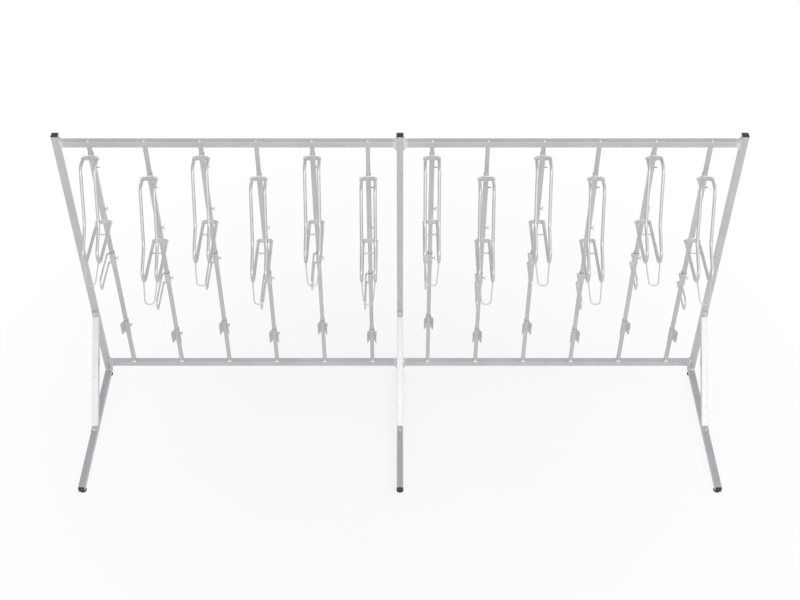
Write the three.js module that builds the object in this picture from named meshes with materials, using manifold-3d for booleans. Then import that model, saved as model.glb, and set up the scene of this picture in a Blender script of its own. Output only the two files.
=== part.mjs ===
import * as THREE from "three";
import { mergeVertices } from "three/addons/utils/BufferGeometryUtils.js";
import Module from "manifold-3d";

// A free-standing cycle rack for twelve cycles, in galvanised steel. Lengths are in millimetres.
// X runs along the rack, Y from the front of the rack to its back, Z up, and the floor is Z = 0.
// Three end frames (foot, post and strut) carry two bays, each with an upper rail and a comb of six
// uprights on a lower rail. A wheel holder, a lock loop and a wheel guide slide on every upright.

const BAYS = 2;
const COLUMNS_PER_BAY = 6;
const RIGHT_ANGLE = Math.PI / 2;

// Square tubes of the frame.
const FRAME_TUBE = 40;
const FRAME_WALL = 2.5;
const FRAME_CORNER = 2;
const CORNER_STEPS = 1;
const CLEARANCE = 0.3;

// Levelling feet under each foot.
const PAD_RADIUS = 22.5;
const PAD_EDGE = 7;
const PAD_HEIGHT = 11;
const STUD_RADIUS = 5;
const STUD_INSIDE = 22;
const FLOOR_GAP = 20;
const PAD_SIDES = 12;
const STUD_SIDES = 8;
const FRONT_PAD_SETBACK = 25;
const REAR_PAD_SETBACK = 27;

// Feet, posts and struts.
const FOOT_LENGTH = 1077;
const PLUG_FLANGE = 5;
const PLUG_DEPTH = 20;
const POST_LENGTH = 2009;
const CAP_HEIGHT = 6;
const CAP_PLUG = 18;
const CAP_PLUG_SHARE = 0.94;
const CAP_TAPER = 2;
const STRUT_TOP = 584;
const STRUT_TAB = 6;
const STRUT_TAB_REACH = 46;
const STRUT_TAB_REST = 8;

// Rails between the posts.
const RAIL_LENGTH = 2000;
const END_PLATE = 6;
const END_PLATE_HEIGHT = 80;
const END_PLATE_CHAMFER = 13;
const END_GUSSET = 11;
const LOWER_RAIL_BASE = 99;
const UPPER_RAIL_DROP = 36;
const VENT_RADIUS = 6;
const VENT_SIDES = 8;
const VENT_SETBACK = 40;

// Uprights, and the sleeves that slide on them.
const UPRIGHT_TUBE = 25;
const UPRIGHT_WALL = 2;
const UPRIGHT_CORNER = 1.5;
const WELD_DEPTH = 1;
const SLEEVE_TUBE = 31;
const SLEEVE_CORNER = 2;

// Wheel holder: heights are measured from the middle of its upper cross plate.
const HOLDER_TOP = 16;
const HOLDER_DROP = 503;
const HOLDER_END = 21;
const CROSS_HEIGHT = 30;
const CROSS_THICKNESS = 5;
const UPPER_SPACER = 12;
const LOWER_SPACER = 7;
const ARM_RADIUS = 10;
const ARM_SIDES = 6;
const ARM_OFFSET = 42;
const ARM_FLARE = 3;
const ARM_SHOULDER = 130;
const ARM_SHOULDER_RADIUS = 50;
const ARM_KNEE = 285;
const ARM_KNEE_DROP = 316;
const ARM_KNEE_RADIUS = 70;
const ARM_NOSE = 436;
const ARM_NOSE_DROP = 412;
const ARM_NOSE_RADIUS = 48;
const STOP_ROD_RADIUS = 4.5;
const STOP_ROD_REACH = 146;
const HOOK_RADIUS = 4.5;
const HOOK_SIDES = 5;
const HOOK_START = 430;
const HOOK_START_DROP = 473;
const HOOK_SHOULDER = 520;
const HOOK_SHOULDER_DROP = 540;
const HOOK_SHOULDER_WIDTH = 29;
const HOOK_TIP = 549;
const HOOK_TIP_DROP = 562;

// Lock loop: a hairpin rod on a collar, to the left of the upright.
const LOCK_COLLAR = 94;
const LOCK_SCREW_RISE = 43;
const LOOP_RADIUS = 6;
const LOOP_SIDES = 6;
const LOOP_OFFSET = 31;
const LOOP_RISE = 6;
const LOOP_GAP = 76;
const LOOP_REACH = 270;
const LOOP_NOSE_RADIUS = 26;
const LOOP_ROOT_RADIUS = 8;
const LOOP_ROOT_INSET = 14;

// Wheel guide: a collar with two flared wings and a wing screw.
const GUIDE_HEIGHT = 94;
const GUIDE_SCREW_RISE = 49;
const WING_THICKNESS = 3;
const WING_OUT = 18;
const WING_FORWARD = 36;
const WING_FOLD_TOP = 101;
const WING_TIP_TOP = 102;
const WING_TIP_BASE = 1;

// Wing screws that clamp the sleeves.
const SCREW_RADIUS = 4;
const SCREW_SIDES = 6;
const SCREW_LENGTH = 8;
const SCREW_WING_REACH = 13;
const SCREW_WING_SPAN = 15;
const SCREW_WING_WIDTH = 6;
const SCREW_WING_THICKNESS = 4;
const SCREW_SETBACK = 88;

// Heights of the sliding pieces in the two tiers, and the one guide that is set higher.
const UPPER_TIER = { holder: 1922, lock: 1051, guide: 437 };
const LOWER_TIER = { holder: 1766, lock: 875, guide: 356 };
const RAISED_GUIDE_COLUMN = 7;
const RAISED_GUIDE = 49;

// How far the flats of a bend may cut its curve.
const BEND_SAGITTA = 2;

const GALVANISED = { color: 0xb9bbbd, roughness: 0.45, metalness: 0.9 };
const BRIGHT_TUBE = { color: 0xc6c8cb, roughness: 0.32, metalness: 0.95 };
const BLACK_PLASTIC = { color: 0x26262a, roughness: 0.6, metalness: 0.0 };
const BLACK_RUBBER = { color: 0x1c1c1e, roughness: 0.85, metalness: 0.0 };

const postPitch = RAIL_LENGTH + 2 * (END_PLATE + CLEARANCE) + FRAME_TUBE;
const footTop = FLOOR_GAP + FRAME_TUBE;
const postBase = footTop + CLEARANCE;
const postTop = postBase + POST_LENGTH;
const uprightAxis = FRAME_TUBE / 2;
const upperRailBase = postTop - UPPER_RAIL_DROP - FRAME_TUBE;
const uprightTop = upperRailBase - CLEARANCE;
const columnPitch = RAIL_LENGTH / COLUMNS_PER_BAY;
const footFront = FRAME_TUBE - FOOT_LENGTH;

const wasm = await Module();
wasm.setup();

function asSolid(geometry) {
  const bare = geometry.clone();
  bare.deleteAttribute("normal");
  bare.deleteAttribute("uv");
  const merged = mergeVertices(bare, CLEARANCE / 100);
  return new wasm.Manifold(
    new wasm.Mesh({
      numProp: 3,
      vertProperties: merged.attributes.position.array,
      triVerts: new Uint32Array(merged.index.array),
    }),
  );
}

function asGeometry(solid) {
  const mesh = solid.getMesh();
  const geometry = new THREE.BufferGeometry();
  geometry.setAttribute("position", new THREE.BufferAttribute(mesh.vertProperties, 3));
  geometry.setIndex(new THREE.BufferAttribute(mesh.triVerts, 1));
  const faceted = geometry.toNonIndexed();
  faceted.computeVertexNormals();
  return faceted;
}

function join(pieces, cuts = []) {
  let solid = pieces.map(asSolid).reduce((whole, piece) => whole.add(piece));
  for (const cut of cuts) solid = solid.subtract(asSolid(cut));
  return asGeometry(solid);
}

// A box between two corners.
function block(low, high) {
  const size = high.map((value, axis) => value - low[axis]);
  const middle = high.map((value, axis) => (value + low[axis]) / 2);
  return new THREE.BoxGeometry(...size).translate(...middle);
}

function roundedSquare(side, corner) {
  const flat = side / 2 - corner;
  const shape = new THREE.Shape();
  shape.absarc(flat, flat, corner, 0, RIGHT_ANGLE);
  shape.absarc(-flat, flat, corner, RIGHT_ANGLE, 2 * RIGHT_ANGLE);
  shape.absarc(-flat, -flat, corner, 2 * RIGHT_ANGLE, 3 * RIGHT_ANGLE);
  shape.absarc(flat, -flat, corner, 3 * RIGHT_ANGLE, 4 * RIGHT_ANGLE);
  return shape;
}

// A square with flat chamfered corners.
function chamferedSquare(side, chamfer) {
  const half = side / 2;
  const flat = half - chamfer;
  const corners = [
    [half, flat], [flat, half], [-flat, half], [-half, flat],
    [-half, -flat], [-flat, -half], [flat, -half], [half, -flat],
  ];
  return new THREE.Shape(corners.map(([x, y]) => new THREE.Vector2(x, y)));
}

function squareHole(side) {
  const half = side / 2;
  const corners = [[-half, -half], [-half, half], [half, half], [half, -half]];
  return new THREE.Path(corners.map(([x, y]) => new THREE.Vector2(x, y)));
}

// A hollow square tube that stands on Z = 0 around the Z axis.
function squareTube(outline, inside, length) {
  outline.holes.push(squareHole(inside));
  return extrude(outline, length);
}

function frameTube(length) {
  const inside = FRAME_TUBE - 2 * FRAME_WALL;
  return squareTube(roundedSquare(FRAME_TUBE, FRAME_CORNER), inside, length);
}

function extrude(shape, length) {
  const options = { depth: length, bevelEnabled: false, curveSegments: CORNER_STEPS };
  return new THREE.ExtrudeGeometry(shape, options);
}

// An outline in the plane of X and Z, given a thickness along Y and centred on Y = 0.
function platedOutline(points, thickness) {
  const shape = new THREE.Shape(points.map(([x, z]) => new THREE.Vector2(x, z)));
  return extrude(shape, thickness).translate(0, 0, -thickness / 2).rotateX(RIGHT_ANGLE);
}

// The knots of a bent tube: straight runs, with each inner corner rounded to its own radius, or
// left as a slight kink where the radius is zero.
function bend(corners, radii) {
  const points = corners.map((corner) => new THREE.Vector3(...corner));
  const knots = [points[0]];
  for (let i = 1; i < points.length - 1; i += 1) {
    const into = points[i].clone().sub(points[i - 1]).normalize();
    const away = points[i + 1].clone().sub(points[i]).normalize();
    const radius = radii[i - 1];
    knots.push(...(radius > 0 ? arcKnots(points[i], into, away, radius) : [points[i]]));
  }
  knots.push(points[points.length - 1]);
  return knots;
}

function arcKnots(corner, into, away, radius) {
  const turn = into.angleTo(away);
  const step = 2 * Math.acos(1 - BEND_SAGITTA / radius);
  const steps = Math.max(1, Math.round(turn / step));
  const inward = away.clone().sub(into).normalize();
  const centre = corner.clone().addScaledVector(inward, radius / Math.cos(turn / 2));
  const axis = into.clone().cross(away).normalize();
  const start = corner.clone().addScaledVector(into, -radius * Math.tan(turn / 2)).sub(centre);
  const knots = [];
  for (let i = 0; i <= steps; i += 1) {
    const spoke = start.clone().applyAxisAngle(axis, (turn * i) / steps);
    knots.push(spoke.add(centre));
  }
  return knots;
}

// A path that goes through its knots one by one, so that straight runs take a single step.
class KnotPath extends THREE.Curve {
  constructor(knots) {
    super();
    this.knots = knots;
  }

  getPoint(t, target = new THREE.Vector3()) {
    const place = t * (this.knots.length - 1);
    const index = Math.min(Math.floor(place), this.knots.length - 2);
    return target.lerpVectors(this.knots[index], this.knots[index + 1], place - index);
  }

  getPointAt(u, target) {
    return this.getPoint(u, target);
  }

  getTangentAt(u, target = new THREE.Vector3()) {
    const last = this.knots.length - 1;
    const index = Math.round(u * last);
    const before = this.knots[Math.max(index - 1, 0)];
    const here = this.knots[index];
    const after = this.knots[Math.min(index + 1, last)];
    const into = here.clone().sub(before).normalize();
    const away = after.clone().sub(here).normalize();
    return target.addVectors(into, away).normalize();
  }
}

function roundBar(knots, radius, sides) {
  const shape = new THREE.Shape(ring(radius, sides));
  const path = new KnotPath(knots);
  return new THREE.ExtrudeGeometry(shape, { extrudePath: path, steps: knots.length - 1 });
}

function ring(radius, sides) {
  const points = [];
  for (let i = 0; i < sides; i += 1) {
    const angle = ((i + 0.5) * 4 * RIGHT_ANGLE) / sides;
    points.push(new THREE.Vector2(radius * Math.cos(angle), radius * Math.sin(angle)));
  }
  return points;
}

// A drum that stands on a base height.
function standingDrum(radius, base, height, sides) {
  const drum = new THREE.CylinderGeometry(radius, radius, height, sides);
  return drum.rotateX(RIGHT_ANGLE).translate(0, 0, base + height / 2);
}

function footGeometry() {
  const length = FOOT_LENGTH + 2 * PLUG_FLANGE;
  const rear = FRAME_TUBE + PLUG_FLANGE;
  const body = extrude(roundedSquare(FRAME_TUBE, FRAME_CORNER), length)
    .rotateX(RIGHT_ANGLE)
    .translate(0, rear, FLOOR_GAP + FRAME_TUBE / 2);
  const half = FRAME_TUBE / 2 - FRAME_WALL;
  const hollow = block(
    [-half, footFront + PLUG_DEPTH, FLOOR_GAP + FRAME_WALL],
    [half, FRAME_TUBE - PLUG_DEPTH, footTop - FRAME_WALL],
  );
  const radius = (STUD_RADIUS + CLEARANCE) / Math.cos((2 * RIGHT_ANGLE) / STUD_SIDES);
  const height = STUD_INSIDE + 2 * FRAME_WALL;
  const holes = padPlaces().map((place) =>
    standingDrum(radius, FLOOR_GAP - FRAME_WALL, height, STUD_SIDES).translate(0, place, 0),
  );
  return join([body], [hollow, ...holes]);
}

function padPlaces() {
  return [footFront + FRONT_PAD_SETBACK, FRAME_TUBE - REAR_PAD_SETBACK];
}

function levellingFootGeometry() {
  const top = FLOOR_GAP + STUD_INSIDE;
  const profile = [
    [0, 0],
    [PAD_RADIUS, 0],
    [PAD_RADIUS, PAD_EDGE],
    [STUD_RADIUS, PAD_HEIGHT],
    [STUD_RADIUS, top],
    [0, top],
  ];
  const points = profile.map(([radius, height]) => new THREE.Vector2(radius, height));
  return new THREE.LatheGeometry(points, PAD_SIDES).rotateX(RIGHT_ANGLE);
}

function postGeometry() {
  return frameTube(POST_LENGTH).translate(0, uprightAxis, postBase);
}

function postCapGeometry() {
  const base = postTop + CLEARANCE;
  const flange = extrude(roundedSquare(FRAME_TUBE, FRAME_CORNER), CAP_HEIGHT - CAP_TAPER);
  const crown = extrude(roundedSquare(FRAME_TUBE - 2 * CAP_TAPER, FRAME_CORNER), CAP_HEIGHT);
  const plugSide = (FRAME_TUBE - 2 * FRAME_WALL) * CAP_PLUG_SHARE;
  const half = plugSide / 2;
  const plug = block([-half, -half, -CAP_PLUG], [half, half, CAP_TAPER]);
  return join([flange, crown, plug]).translate(0, uprightAxis, base);
}

// A square tube at 45 degrees, cut to stand on the foot and against the post, with a bolting tab on
// each cut face.
function strutGeometry() {
  const front = -CLEARANCE - STRUT_TAB;
  const floor = footTop + CLEARANCE + STRUT_TAB;
  const cutFace = FRAME_TUBE * Math.SQRT2;
  const middleTop = STRUT_TOP - cutFace / 2;
  const run = middleTop - floor;
  const reach = run * Math.SQRT2 + 2 * FRAME_TUBE;
  const tube = frameTube(reach)
    .translate(0, 0, -reach / 2)
    .rotateX(-RIGHT_ANGLE / 2)
    .translate(0, front - run / 2, floor + run / 2);
  const beyond = 2 * FRAME_TUBE;
  const behindPost = block([-beyond, front, -beyond], [beyond, beyond, STRUT_TOP + beyond]);
  const underFoot = block([-beyond, front - run - 2 * beyond, -beyond], [beyond, beyond, floor]);
  const trimmed = join([tube], [behindPost, underFoot]);
  const half = FRAME_TUBE / 2;
  const topTab = block(
    [-half, front - WELD_DEPTH / 2, STRUT_TOP - cutFace - STRUT_TAB_REST],
    [half, -CLEARANCE, STRUT_TOP + STRUT_TAB_REACH],
  );
  const footTab = block(
    [-half, front - run - cutFace / 2 - STRUT_TAB_REACH, footTop + CLEARANCE],
    [half, front - run + cutFace / 2 + STRUT_TAB_REST, floor + WELD_DEPTH / 2],
  );
  const ventBase = floor + run / 2 - FRAME_TUBE;
  const vent = standingDrum(VENT_RADIUS, ventBase, FRAME_TUBE, VENT_SIDES);
  return join([trimmed, topTab, footTab], [vent.translate(0, front - run / 2, 0)]);
}

// A rail lies along X around the origin, with a welded plate and two small gussets at each end.
function railPieces() {
  const length = RAIL_LENGTH + WELD_DEPTH;
  const tube = frameTube(length).translate(0, 0, -length / 2).rotateY(RIGHT_ANGLE);
  return [tube, ...endPlates(1), ...endPlates(-1)];
}

function endPlates(side) {
  const half = FRAME_TUBE / 2;
  const tall = END_PLATE_HEIGHT / 2;
  const outline = [
    [-half, -tall + END_PLATE_CHAMFER],
    [-half + END_PLATE_CHAMFER, -tall],
    [half - END_PLATE_CHAMFER, -tall],
    [half, -tall + END_PLATE_CHAMFER],
    [half, tall - END_PLATE_CHAMFER],
    [half - END_PLATE_CHAMFER, tall],
    [-half + END_PLATE_CHAMFER, tall],
    [-half, tall - END_PLATE_CHAMFER],
  ];
  const centre = side * (RAIL_LENGTH + END_PLATE) / 2;
  const plate = platedOutline(outline, END_PLATE).rotateZ(RIGHT_ANGLE).translate(centre, 0, 0);
  const root = side * (RAIL_LENGTH + WELD_DEPTH) / 2;
  const gussets = [1, -1].map((way) => gusset(root, side, way));
  return [plate, ...gussets];
}

// A small triangle that braces the end plate against the rail, above it or below it.
function gusset(root, side, way) {
  const base = way * (FRAME_TUBE / 2 - WELD_DEPTH);
  const tip = way * (END_PLATE_HEIGHT / 2 - END_PLATE_CHAMFER / 2);
  const corners = [[root, base], [root - side * 2 * END_GUSSET, base], [root, tip]];
  const turned = side * way > 0 ? corners.slice().reverse() : corners;
  return platedOutline(turned, END_PLATE);
}

// Small holes in the underside, which let molten zinc run out of the tube.
function vents(base) {
  return [1, -1].map((side) =>
    standingDrum(VENT_RADIUS, base - FRAME_WALL, 3 * FRAME_WALL, VENT_SIDES)
      .translate(side * (RAIL_LENGTH / 2 - VENT_SETBACK), 0, 0),
  );
}

function upperRailGeometry() {
  const height = upperRailBase + FRAME_TUBE / 2;
  return join(railPieces(), vents(-FRAME_TUBE / 2)).translate(0, uprightAxis, height);
}

function combGeometry() {
  const height = LOWER_RAIL_BASE + FRAME_TUBE / 2;
  const railTop = FRAME_TUBE / 2;
  const inside = UPRIGHT_TUBE - 2 * UPRIGHT_WALL;
  const length = uprightTop - height - railTop + WELD_DEPTH;
  const tubes = columnOffsets().map((offset) =>
    squareTube(chamferedSquare(UPRIGHT_TUBE, UPRIGHT_CORNER), inside, length)
      .translate(offset, 0, railTop - WELD_DEPTH),
  );
  return join([...railPieces(), ...tubes], vents(-railTop)).translate(0, uprightAxis, height);
}

function columnOffsets() {
  const middle = (COLUMNS_PER_BAY - 1) / 2;
  return [...Array(COLUMNS_PER_BAY).keys()].map((column) => (column - middle) * columnPitch);
}

// The pieces that slide on an upright are all modelled around its axis, and this is their sleeve.
function sleeve(length) {
  const inside = UPRIGHT_TUBE + 2 * CLEARANCE;
  return squareTube(chamferedSquare(SLEEVE_TUBE, SLEEVE_CORNER), inside, length);
}

// A screw in the right-hand wall of a sleeve, with two wings that open away from it.
function wingScrew(height, turn) {
  const root = (UPRIGHT_TUBE + SLEEVE_TUBE) / 4 + CLEARANCE;
  const hub = SLEEVE_TUBE / 2 + SCREW_LENGTH;
  const tip = hub + SCREW_WING_REACH;
  const outline = [
    [root, -SCREW_RADIUS],
    [hub, -SCREW_RADIUS],
    [tip - SCREW_WING_WIDTH, -SCREW_WING_SPAN],
    [tip, -SCREW_WING_SPAN + SCREW_WING_WIDTH],
    [hub + SCREW_RADIUS, 0],
    [tip, SCREW_WING_SPAN - SCREW_WING_WIDTH],
    [tip - SCREW_WING_WIDTH, SCREW_WING_SPAN],
    [hub, SCREW_RADIUS],
    [root, SCREW_RADIUS],
  ];
  const screw = platedOutline(outline, SCREW_WING_THICKNESS);
  return screw.rotateX(turn).translate(0, 0, height);
}

function holderGeometry() {
  const length = HOLDER_TOP + HOLDER_DROP + HOLDER_END;
  const body = sleeve(length).translate(0, 0, HOLDER_TOP - length);
  const pieces = [
    body,
    crossPlate(0, UPPER_SPACER),
    crossPlate(-HOLDER_DROP, LOWER_SPACER),
    holderArm(1),
    holderArm(-1),
    stopRod(),
    frontHook(),
    wingScrew(-SCREW_SETBACK, RIGHT_ANGLE / 2),
    wingScrew(SCREW_SETBACK - HOLDER_DROP, 0),
  ];
  return join(pieces);
}

// A plate across the arms, with a spacer behind it that is welded to the sleeve.
function crossPlate(height, spacer) {
  const front = -SLEEVE_TUBE / 2 + WELD_DEPTH;
  const rear = -SLEEVE_TUBE / 2 - spacer;
  const face = rear - CROSS_THICKNESS;
  const wide = SLEEVE_TUBE / 2 - SLEEVE_CORNER;
  const outline = [
    [-wide, front], [-wide, rear], [-ARM_OFFSET, rear], [-ARM_OFFSET, face],
    [ARM_OFFSET, face], [ARM_OFFSET, rear], [wide, rear], [wide, front],
  ];
  const shape = new THREE.Shape(outline.map(([x, y]) => new THREE.Vector2(x, y)));
  return extrude(shape, CROSS_HEIGHT).translate(0, 0, height - CROSS_HEIGHT / 2);
}

// One side of the holder: forward from the upper plate, down and out to the nose, and straight back.
function holderArm(side) {
  const inPlate = CROSS_THICKNESS - WELD_DEPTH;
  const start = -SLEEVE_TUBE / 2 - UPPER_SPACER - inPlate;
  const end = -SLEEVE_TUBE / 2 - LOWER_SPACER - inPlate;
  const offset = side * ARM_OFFSET;
  const flared = side * (ARM_OFFSET + ARM_FLARE);
  const corners = [
    [flared, start, 0],
    [offset, -ARM_SHOULDER, 0],
    [offset, -ARM_KNEE, -ARM_KNEE_DROP],
    [offset, -ARM_NOSE, -ARM_NOSE_DROP],
    [offset, -ARM_NOSE, -HOLDER_DROP],
    [offset, end, -HOLDER_DROP],
  ];
  const radii = [ARM_SHOULDER_RADIUS, ARM_KNEE_RADIUS, ARM_NOSE_RADIUS, ARM_NOSE_RADIUS];
  return roundBar(bend(corners, radii), ARM_RADIUS, ARM_SIDES);
}

function stopRod() {
  const drum = new THREE.CylinderGeometry(STOP_ROD_RADIUS, STOP_ROD_RADIUS, 2 * ARM_OFFSET, HOOK_SIDES);
  return drum.rotateZ(RIGHT_ANGLE).translate(0, -STOP_ROD_REACH, -HOLDER_DROP);
}

// A thin U of rod that hangs forward from the two noses.
function frontHook() {
  const shoulder = HOOK_SHOULDER_WIDTH;
  const corners = [
    [-ARM_OFFSET, -HOOK_START, -HOOK_START_DROP],
    [-shoulder, -HOOK_SHOULDER, -HOOK_SHOULDER_DROP],
    [-shoulder / 2, -HOOK_TIP, -HOOK_TIP_DROP],
    [shoulder / 2, -HOOK_TIP, -HOOK_TIP_DROP],
    [shoulder, -HOOK_SHOULDER, -HOOK_SHOULDER_DROP],
    [ARM_OFFSET, -HOOK_START, -HOOK_START_DROP],
  ];
  return roundBar(bend(corners, [0, 0, 0, 0]), HOOK_RADIUS, HOOK_SIDES);
}

function lockLoopGeometry() {
  const collar = sleeve(LOCK_COLLAR);
  const low = LOOP_RISE;
  const high = low + LOOP_GAP;
  const corners = [
    [-LOOP_ROOT_INSET, 0, high],
    [-LOOP_OFFSET, 0, high],
    [-LOOP_OFFSET, -LOOP_REACH, high],
    [-LOOP_OFFSET, -LOOP_REACH, low],
    [-LOOP_OFFSET, 0, low],
    [-LOOP_ROOT_INSET, 0, low],
  ];
  const radii = [LOOP_ROOT_RADIUS, LOOP_NOSE_RADIUS, LOOP_NOSE_RADIUS, LOOP_ROOT_RADIUS];
  const loop = roundBar(bend(corners, radii), LOOP_RADIUS, LOOP_SIDES);
  return join([collar, loop, wingScrew(LOCK_SCREW_RISE, 0)]);
}

function wheelGuideGeometry() {
  const screw = wingScrew(GUIDE_SCREW_RISE, 0);
  return join([sleeve(GUIDE_HEIGHT), guideWing(1), guideWing(-1), screw]);
}

function guideWing(side) {
  const length = Math.hypot(WING_OUT, WING_FORWARD);
  const outline = [
    [0, 0],
    [length, WING_TIP_BASE],
    [length, WING_TIP_TOP],
    [0, WING_FOLD_TOP],
  ];
  const angle = Math.atan2(-WING_FORWARD, side * WING_OUT);
  const fold = side * (SLEEVE_TUBE / 2 - WING_THICKNESS + WELD_DEPTH / 2);
  const wing = platedOutline(outline, WING_THICKNESS);
  return wing.rotateZ(angle).translate(fold, -SLEEVE_TUBE / 2 + WELD_DEPTH, 0);
}

const rack = new THREE.Group();

function add(name, geometry, finish, x = 0, y = 0, z = 0) {
  const mesh = new THREE.Mesh(geometry, new THREE.MeshStandardMaterial(finish));
  mesh.name = name;
  mesh.position.set(x, y, z);
  rack.add(mesh);
}

function addEndFrames() {
  const foot = footGeometry();
  const pad = levellingFootGeometry();
  const post = postGeometry();
  const cap = postCapGeometry();
  const strut = strutGeometry();
  const [front, rear] = padPlaces();
  ["left", "centre", "right"].forEach((side, index) => {
    const x = (index - BAYS / 2) * postPitch;
    add(`foot_${side}`, foot, GALVANISED, x);
    add(`levelling_foot_${side}_front`, pad, BLACK_RUBBER, x, front);
    add(`levelling_foot_${side}_rear`, pad, BLACK_RUBBER, x, rear);
    add(`post_${side}`, post, GALVANISED, x);
    add(`post_cap_${side}`, cap, BLACK_PLASTIC, x);
    add(`strut_${side}`, strut, GALVANISED, x);
  });
}

function addBays() {
  const rail = upperRailGeometry();
  const comb = combGeometry();
  ["left", "right"].forEach((side, bay) => {
    const x = (bay + 0.5 - BAYS / 2) * postPitch;
    add(`upper_rail_${side}`, rail, GALVANISED, x);
    add(`upright_comb_${side}`, comb, GALVANISED, x);
  });
}

function addColumns() {
  const holder = holderGeometry();
  const lock = lockLoopGeometry();
  const guide = wheelGuideGeometry();
  for (let bay = 0; bay < BAYS; bay += 1) {
    columnOffsets().forEach((offset, place) => {
      const number = bay * COLUMNS_PER_BAY + place + 1;
      const label = String(number).padStart(2, "0");
      const tier = number % 2 === 1 ? UPPER_TIER : LOWER_TIER;
      const lift = number === RAISED_GUIDE_COLUMN ? RAISED_GUIDE : 0;
      const x = (bay + 0.5 - BAYS / 2) * postPitch + offset;
      add(`wheel_holder_${label}`, holder, BRIGHT_TUBE, x, uprightAxis, tier.holder);
      add(`lock_loop_${label}`, lock, BRIGHT_TUBE, x, uprightAxis, tier.lock);
      add(`wheel_guide_${label}`, guide, GALVANISED, x, uprightAxis, tier.guide + lift);
    });
  }
}

addEndFrames();
addBays();
addColumns();

// The origin is on the floor, in the middle of the rack's length and depth.
const depthCentre = (footFront - PLUG_FLANGE + FRAME_TUBE + PLUG_FLANGE) / 2;
rack.position.y = -depthCentre;

const group = new THREE.Group();
group.add(rack);

export default group;
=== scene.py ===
import math

import bpy
from mathutils import Matrix, Vector


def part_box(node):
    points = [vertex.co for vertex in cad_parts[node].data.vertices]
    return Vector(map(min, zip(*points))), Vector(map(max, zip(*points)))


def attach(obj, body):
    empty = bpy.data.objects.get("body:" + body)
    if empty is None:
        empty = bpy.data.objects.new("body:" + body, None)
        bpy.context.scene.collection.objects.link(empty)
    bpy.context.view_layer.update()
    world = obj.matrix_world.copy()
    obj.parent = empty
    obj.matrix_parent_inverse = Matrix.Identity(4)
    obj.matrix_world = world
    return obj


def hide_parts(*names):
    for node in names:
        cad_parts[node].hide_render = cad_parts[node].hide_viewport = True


MM = 0.001
PI = math.pi
RIGHT, BACK, UP = Vector((1, 0, 0)), Vector((0, 1, 0)), Vector((0, 0, 1))

# Sizes of the frame in millimetres, as in the part's own source.
FRAME_TUBE = 40
UPRIGHT_TUBE = 25
CLEARANCE = 0.3
FLOOR_GAP = 20
FOOT_LENGTH = 1077
PLUG_FLANGE = 5
POST_LENGTH = 2009
CAP_HEIGHT = 6
RAIL_LENGTH = 2000
END_PLATE = 6
LOWER_RAIL_BASE = 99
UPPER_RAIL_DROP = 36
COLUMNS = 12
COLUMNS_PER_BAY = 6
SIDES = ("left", "centre", "right")

POST_PITCH = RAIL_LENGTH + 2 * (END_PLATE + CLEARANCE) + FRAME_TUBE
COLUMN_PITCH = RAIL_LENGTH / COLUMNS_PER_BAY
POST_FRONT = FOOT_LENGTH / 2 - FRAME_TUBE
UPRIGHT_AXIS = POST_FRONT + FRAME_TUBE / 2
FOOT_TOP = FLOOR_GAP + FRAME_TUBE

# Heights of the middles of the rails.
LOWER_RAIL = LOWER_RAIL_BASE + FRAME_TUBE / 2
UPPER_RAIL = FOOT_TOP + CLEARANCE + POST_LENGTH - UPPER_RAIL_DROP - FRAME_TUBE / 2

# Sleeves, and the collars of locks and guides. Sliding pieces are modelled around the upright's axis.
SLEEVE = 31
SLEEVE_CORNER = 2
SLEEVE_INSIDE = 25.1
SLEEVE_INSIDE_CORNER = 1.7
SLEEVE_SIDE = SLEEVE / 2
SLEEVE_FRONT = -SLEEVE / 2
COLLAR = 94

# Wheel holder: heights are measured from the middle of its upper cross plate.
HOLDER_TOP = 16
HOLDER_DROP = 503
HOLDER_END = 21
CROSS_REACH = 44
CROSS_HALF = 15
CROSS_CORNER = 5
CROSS_THICKNESS = 5
SPACER_HALF = 14
UPPER_SPACER = 12
LOWER_SPACER = 7
ARM_RADIUS = 10
ARM_OFFSET = 42
ARM_FLARE = 1
ARM_IN_PLATE = 0.5
ARM_SHOULDER = 130
ARM_KNEE = 285
ARM_KNEE_DROP = 316
ARM_NOSE = 436
ARM_NOSE_DROP = 412
ARM_BENDS = (50, 70, 48, 56)
STOP_ROD_REACH = 146
STOP_ROD_RADIUS = 4.5
HOOK_ROOT = Vector((0, -430, -473))
HOOK_WAY = Vector((0, -119, -89)).normalized()
HOOK_LENGTH = 148.6
HOOK_TIP_HALF = 27
HOOK_BEND = 23.5
HOOK_RADIUS = 4.1

# Lock loop.
LOOP_RADIUS = 6
LOOP_OFFSET = 31
LOOP_ROOT = 14
LOOP_LOW = 6
LOOP_HIGH = 82
LOOP_REACH = 270
LOOP_ROOT_BEND = 9
LOOP_NOSE_BEND = 26

# Wheel guide.
WING_OUT = 18
WING_FORWARD = 36
WING_THICKNESS = 3
WING_FOLD = 13
WING_FOLD_TOP = 101
WING_TIP_TOP = 102
WING_TIP_BASE = 1

# Heights of the wing screws on their sleeves.
UPPER_SCREW = -91
LOWER_SCREW = -415
LOCK_SCREW = 43
GUIDE_SCREW = 49

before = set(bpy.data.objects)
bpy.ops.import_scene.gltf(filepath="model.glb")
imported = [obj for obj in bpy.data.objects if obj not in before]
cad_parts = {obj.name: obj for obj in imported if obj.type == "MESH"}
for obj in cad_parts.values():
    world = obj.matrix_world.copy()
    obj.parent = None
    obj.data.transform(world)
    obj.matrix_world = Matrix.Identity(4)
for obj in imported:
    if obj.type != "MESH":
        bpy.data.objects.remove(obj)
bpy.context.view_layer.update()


# Shapes.

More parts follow.
